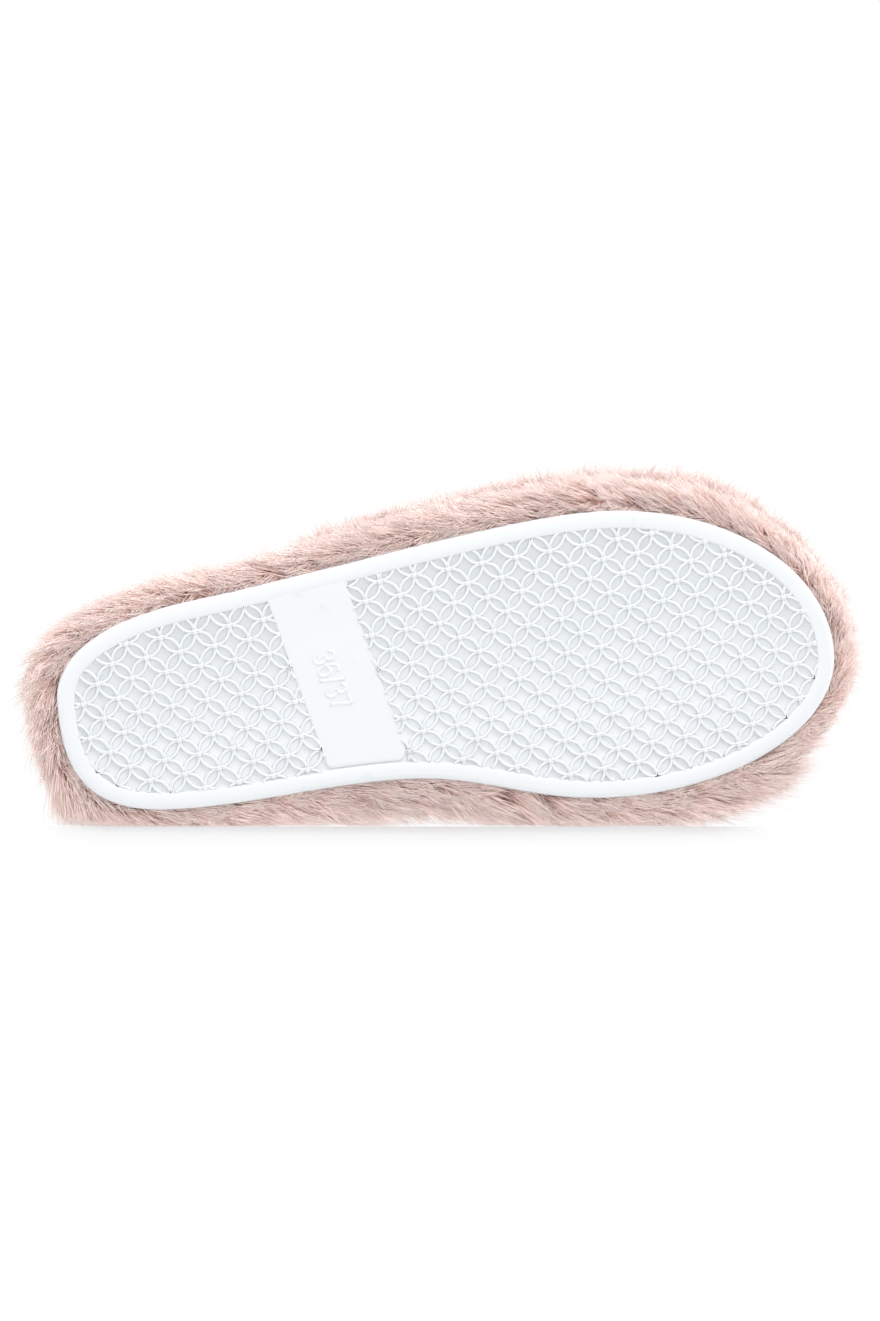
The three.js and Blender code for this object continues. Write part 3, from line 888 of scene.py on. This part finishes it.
class Finish:
    """A material, or the studio's light, made node by node."""

    def __init__(self, owner):
        self.owner = owner
        owner.use_nodes = True
        self.nodes, self.links = owner.node_tree.nodes, owner.node_tree.links
        self.nodes.clear()

    def add(self, kind, settings=None, sockets=None, out=0):
        node = self.nodes.new(kind)
        for key, value in (settings or {}).items():
            if key == "stops":
                ramp = node.color_ramp.elements
                for place, _ in value[1:-1]:
                    ramp.new(place)
                for element, (_, colour) in zip(ramp, value):
                    element.color = (*colour, 1.0)
            else:
                setattr(node, key, value)
        for key, value in (sockets or {}).items():
            if isinstance(value, Wire):
                self.links.new(value.socket, node.inputs[key])
            else:
                node.inputs[key].default_value = value
        return Wire(self, node.outputs[out]) if node.outputs else None

    def math(self, kind, first, second):
        return self.add("ShaderNodeMath", {"operation": kind}, {0: first, 1: second})

    def parts(self, vector):
        """The three numbers of a vector."""
        first = self.add("ShaderNodeSeparateXYZ", None, {0: vector})
        return [Wire(self, socket) for socket in first.socket.node.outputs]

    def spot(self):
        return self.add("ShaderNodeTexCoord", out="Object")

    def noise(self, scale, detail=3.0, rough=0.55):
        return self.add("ShaderNodeTexNoise", None,
                        {"Vector": self.spot(), "Scale": scale, "Detail": detail,
                         "Roughness": rough}, out="Fac")

    def cells(self, scale):
        return self.add("ShaderNodeTexVoronoi", {"feature": "F1"}, {"Vector": self.spot(), "Scale": scale})

    def band(self, value, low, high, to_low=0.0, to_high=1.0):
        """The value's way from low to high, as a number from to_low to to_high."""
        return self.add("ShaderNodeMapRange", {"clamp": True},
                        {"Value": value, "From Min": low, "From Max": high,
                         "To Min": to_low, "To Max": to_high})

    def blend(self, share, first, second, kind="MIX"):
        """Mixes two colours."""
        colours = [value if isinstance(value, Wire) else (*value, 1.0) for value in (first, second)]
        return self.add("ShaderNodeMix", {"data_type": "RGBA", "blend_type": kind},
                        {0: share, 6: colours[0], 7: colours[1]}, out=2)

    def bump(self, height, strength, depth):
        return self.add("ShaderNodeBump", None,
                        {"Height": height, "Strength": strength, "Distance": depth})

    def coat(self, **sockets):
        """Ends the finish with its surface shader and returns the material."""
        named = {key.replace("_", " "): value for key, value in sockets.items()}
        return self.end(self.add("ShaderNodeBsdfPrincipled", None, named))

    def end(self, surface, kind="ShaderNodeOutputMaterial"):
        self.add(kind, None, {"Surface": surface})
        return self.owner


def new_finish(name):
    return Finish(bpy.data.materials.new(name))


def moulded_rubber():
    """White moulded rubber: matt, with a fine grain, faint clouding and a little scuffing."""
    f = new_finish("moulded_white_rubber")
    cloud = f.noise(38.0, 4.0)
    scuff = f.band(f.noise(210.0, 5.0, 0.7) * f.noise(55.0, 2.0), 0.33, 0.42)
    base = f.blend(cloud, (0.655, 0.68, 0.701), (0.68, 0.70, 0.714))
    colour = f.blend(scuff * 0.35, base, (0.57, 0.585, 0.60))
    grain = f.noise(2600.0, 2.0) * 0.6 + f.noise(500.0, 3.0) * 0.4
    return f.coat(Base_Color=colour, Roughness=f.band(cloud + scuff * 0.3, 0.3, 0.9, 0.42, 0.62),
                  Normal=f.bump(grain, 0.12, 0.0002), IOR=1.5)


def fibre_finish(name, stops, dark, **surface):
    """Pile: each fibre goes through the stops from its root to its tip, and fibres differ by as
    much as the colour dark takes away."""
    f = new_finish(name)
    shade, run, _ = f.parts(f.add("ShaderNodeUVMap", {"uv_map": "OFBake"}))
    along = f.add("ShaderNodeValToRGB", {"stops": stops}, {"Fac": run})
    return f.coat(Base_Color=f.blend(shade, f.blend(1.0, along, dark, "MULTIPLY"), along), **surface)


def long_pile():
    """Faux fur: deep pink at the root and pale at the tip, with a soft sheen. The deep root colour is
    partly the fur's own pink and partly painted shade for the shade down in the pile.
    """
    # The root stop's dark, saturated pink is partly painted shade for the shadowed depth of the pile.
    stops = [(0.0, (0.90, 0.53, 0.46)), (0.3, (0.96, 0.70, 0.635)),
             (0.62, (0.985, 0.815, 0.77)), (1.0, (0.99, 0.87, 0.835))]
    return fibre_finish("pink_fur_fibre", stops, (0.93, 0.88, 0.87), Roughness=0.6, IOR=1.4,
                        Sheen_Weight=0.6, Sheen_Roughness=0.4, Sheen_Tint=(1.0, 0.93, 0.9, 1.0))


def plush_pile():
    """Short plush, duller than the fur."""
    stops = [(0.0, (0.84, 0.64, 0.58)), (0.5, (0.95, 0.77, 0.72)), (1.0, (0.98, 0.85, 0.81))]
    return fibre_finish("pink_plush_fibre", stops, (0.93, 0.9, 0.89), Roughness=0.75,
                        Sheen_Weight=0.2, Sheen_Roughness=0.5)


def backing_cloth(name, low, high):
    """Knitted backing under a pile: rows of small loops, matt."""
    f = new_finish(name)
    mottle = f.noise(140.0, 4.0)
    return f.coat(Base_Color=f.blend(mottle, low, high),
                  Roughness=f.band(mottle, 0.2, 0.8, 0.82, 0.96),
                  Normal=f.bump(f.cells(900.0), 0.2, 0.0003), Sheen_Weight=0.15)


def foam():
    """Cream foam with fine open cells."""
    f = new_finish("cream_foam")
    cells = f.cells(1100.0)
    colour = f.blend(cells * 0.5 + f.noise(60.0, 3.0) * 0.5, (0.74, 0.70, 0.60), (0.87, 0.84, 0.76))
    return f.coat(Base_Color=colour, Roughness=f.band(cells, 0.0, 0.8, 0.95, 0.8),
                  Normal=f.bump(cells, 0.4, 0.0004))


def thread():
    """Pink sewing thread: twisted plies with a soft gloss."""
    f = new_finish("pink_thread")
    twist = f.add("ShaderNodeTexWave", {"wave_type": "BANDS", "bands_direction": "DIAGONAL"},
                  {"Vector": f.spot(), "Scale": 320.0, "Distortion": 1.0})
    colour = f.blend(twist, (0.50, 0.27, 0.23), (0.68, 0.42, 0.36))
    return f.coat(Base_Color=colour, Roughness=f.band(twist, 0.0, 1.0, 0.5, 0.7),
                  Normal=f.bump(twist, 0.4, 0.0002))


def pale_ground(name, shade, middle=0.0, half=10.0):
    """The studio's paper, which is seen from its upper side only. It fades out along the slipper,
    half a length either side of its middle."""
    f = new_finish(name)
    colour = f.blend(f.noise(3.0, 2.0), (shade,) * 3, (shade * 1.02,) * 3)
    paper = f.add("ShaderNodeBsdfDiffuse", None, {"Color": colour})
    behind = f.add("ShaderNodeNewGeometry", out="Backfacing")
    along = f.parts(f.spot())[1]
    from_middle = f.math("ABSOLUTE", along - middle, 0.0)
    gone = f.math("MAXIMUM", behind, f.band(from_middle, half, half + 0.02))
    clear = f.add("ShaderNodeBsdfTransparent")
    return f.end(f.add("ShaderNodeMixShader", None, {0: gone, 1: paper, 2: clear}))


# ---- Studio: camera, ground and lights, in metres

LENS, DISTANCE, TARGET = 101.2, 1.175, Vector((-0.0015, 0.0050, 0.0))
LEAN_SIDE, LEAN_HEEL = math.radians(4.5), math.radians(4.0)
CAMERA_UP = Vector((-0.9985, -0.0546, 0.0))
FLOOR_DROP, FLOOR_HALF, FLOOR_SHADE = 0.0004, 3.0, 0.76
SHELF_DROP, SHELF_HALF_LENGTH, SHELF_HALF_DEPTH, SHELF_SHADE = 0.0005, 1.5, 0.5, 0.528
SHELF_MIDDLE, SHELF_SEEN = 0.0185, 0.096
# The tent's brightness under the slipper and round its sides, and what it loses overhead.
TENT_UNDER, TENT_SIDE, TENT_TOP = 0.76, 2.1, -0.95
# Each lamp's place, power and size.
LAMPS = {"sole_side_light": ((-1.1, -0.9, -0.75), 7.0, 0.5),
         "fringe_light": ((-1.7, 0.1, -0.1), 10.0, 1.2),
         "under_light": ((-0.3, 0.2, -1.7), 10.0, 0.9),
         "upper_key_light": ((-1.2, -1.0, 1.7), 8.0, 1.0),
         "upper_fill_light": ((1.6, 0.9, 1.3), 4.0, 1.4)}
LAMPS_AIM = Vector((0.0, 0.0, 0.02))


def camera():
    """Looks up at the sole, a little from its outer side and from its heel."""
    data = bpy.data.cameras.new("camera")
    data.lens, data.sensor_width, data.clip_end = LENS, 36.0, 20.0
    holder = new_object("camera", data)
    ahead = Vector((math.tan(LEAN_SIDE), -math.tan(LEAN_HEEL), 1.0)).normalized()
    up = (CAMERA_UP - ahead * CAMERA_UP.dot(ahead)).normalized()
    turn = Matrix((ahead.cross(up), up, -ahead)).transposed().to_4x4()
    holder.matrix_world = Matrix.Translation(TARGET - ahead * DISTANCE) @ turn
    bpy.context.scene.camera = holder


def ground(name, centre, across, along, material):
    """A sheet of paper, which only the camera sees."""
    corners = [centre - across - along, centre + across - along,
               centre + across + along, centre - across + along]
    mesh = bpy.data.meshes.new(name)
    mesh.from_pydata(corners, [], [(0, 1, 2, 3)])
    mesh.materials.append(material)
    sheet = new_object(name, mesh)
    for ray in ("diffuse", "glossy", "transmission", "volume_scatter", "shadow"):
        setattr(sheet, "visible_" + ray, False)


def floor_and_shelf():
    """The floor, and the shelf that the arch side leans on, which lies under the floor's level."""
    ground("studio_floor", Vector((0, 0, -FLOOR_DROP)), Vector((FLOOR_HALF, 0, 0)),
           Vector((0, FLOOR_HALF, 0)), pale_ground("studio_floor_paper", FLOOR_SHADE))
    level_out = math.hypot(SHELF_OUT[0], SHELF_OUT[1])
    out = Vector((SHELF_OUT[0], SHELF_OUT[1], 0.0)) / level_out
    along = Vector((-out.y, out.x, 0.0))
    centre = out * SHELF_FACE / 1000 / level_out - Vector((0, 0, SHELF_HALF_DEPTH + SHELF_DROP))
    ground("studio_shelf", centre, along * -SHELF_HALF_LENGTH, Vector((0, 0, SHELF_HALF_DEPTH)),
           pale_ground("studio_shelf_paper", SHELF_SHADE, SHELF_MIDDLE, SHELF_SEEN))


def tent():
    """A white tent, brightest round the sides and softer overhead, plain white to the camera."""
    world = bpy.data.worlds.new("studio_light")
    bpy.context.scene.world = world
    f = Finish(world)
    height = f.parts(f.add("ShaderNodeTexCoord", out="Generated"))[2]
    glow = (f.band(height, -0.5, -0.08, TENT_UNDER, TENT_SIDE)
            + f.band(height, 0.1, 0.6, 0.0, TENT_TOP))
    seen = f.add("ShaderNodeLightPath", out="Is Camera Ray")
    white = f.add("ShaderNodeBackground", None,
                  {"Color": (1.0, 1.0, 1.0, 1.0), "Strength": f.band(seen, 0.0, 1.0, glow, 1.0)})
    f.end(white, "ShaderNodeOutputWorld")


def lamps():
    """Round soft lamps, all turned to the slipper."""
    for name, (place, power, size) in LAMPS.items():
        light = bpy.data.lights.new(name, "AREA")
        light.shape, light.size, light.energy = "DISK", size, power
        holder = new_object(name, light)
        holder.location = place
        holder.rotation_mode = "QUATERNION"
        holder.rotation_quaternion = (LAMPS_AIM - Vector(place)).to_track_quat("-Z", "Y")
        holder.visible_camera = False


# ---- Assembly

def settle(piece, material, node):
    """Gives a piece its finish and its slot, in place of one of the solid model's nodes."""
    piece.data.materials.clear()
    piece.data.materials.append(material)
    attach(piece, "root")
    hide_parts(node)
    return piece


camera()
floor_and_shelf()
tent()
lamps()
bpy.context.scene.view_settings.view_transform = "Standard"

rubber, fibre, plush = moulded_rubber(), long_pile(), plush_pile()
# The fur's backing is a deep, saturated pink: partly its own colour and partly painted shade for the
# shadowed gaps between the tufts.
fur_backing = backing_cloth("fur_backing_knit", (0.78, 0.47, 0.40), (0.87, 0.57, 0.50))
plush_backing = backing_cloth("plush_backing_knit", (0.76, 0.55, 0.49), (0.86, 0.66, 0.60))
cream, pink_thread = foam(), thread()

sole = sole_unit()
tread = raised_lines("outsole_tread_ridges", tread_arcs(), RIDGE_WIDTH, TREAD_DEPTH + BEDDED, RIDGE_TOP)
for piece in (sole, tread, tread_crossings(), waist_panel(), size_numerals()):
    settle(piece, rubber, "outsole")

wrapper = settle(wrapper_cloth(), fur_backing, "wrapper_fur")
for piece in pile("wrapper_fur_pile", *wrapper_pile(), split=7):
    settle(piece, fibre, "wrapper_fur")

cloth, upper_skin = upper_cloth()
settle(cloth, fur_backing, "upper_fur")
for piece in pile("upper_fur_pile", *upper_pile(upper_skin), split=10):
    settle(piece, fibre, "upper_fur")

lining, lining_skin = upper_lining()
settle(lining, plush_backing, "upper_lining")
made = short_pile(lining_skin, LINING_TUFTS, LINING_PILE, -55, middle_of(lining_skin), side=-1.0)
for piece in pile("upper_plush_pile", *made, 4, PLUSH_STATIONS, PLUSH_GIRTH):
    settle(piece, plush, "upper_lining")

pad, pad_top = footbed()
settle(pad, plush_backing, "footbed_plush")
made = short_pile(pad_top, FOOTBED_TUFTS, FOOTBED_PILE, -30, np.array([0, 0, -300.0]))
for piece in pile("footbed_plush_pile", *made, 4, PLUSH_STATIONS, PLUSH_GIRTH):
    settle(piece, plush, "footbed_plush")

for name, fill in (("platform_foam", 1.0), ("cushion_foam", 0.95), ("upper_foam", 0.7)):
    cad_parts[name].data.materials[0] = cream
for name in ("wrapper_join_thread", "sole_seam_thread", "topline_thread"):
    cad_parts[name].data.materials[0] = pink_thread
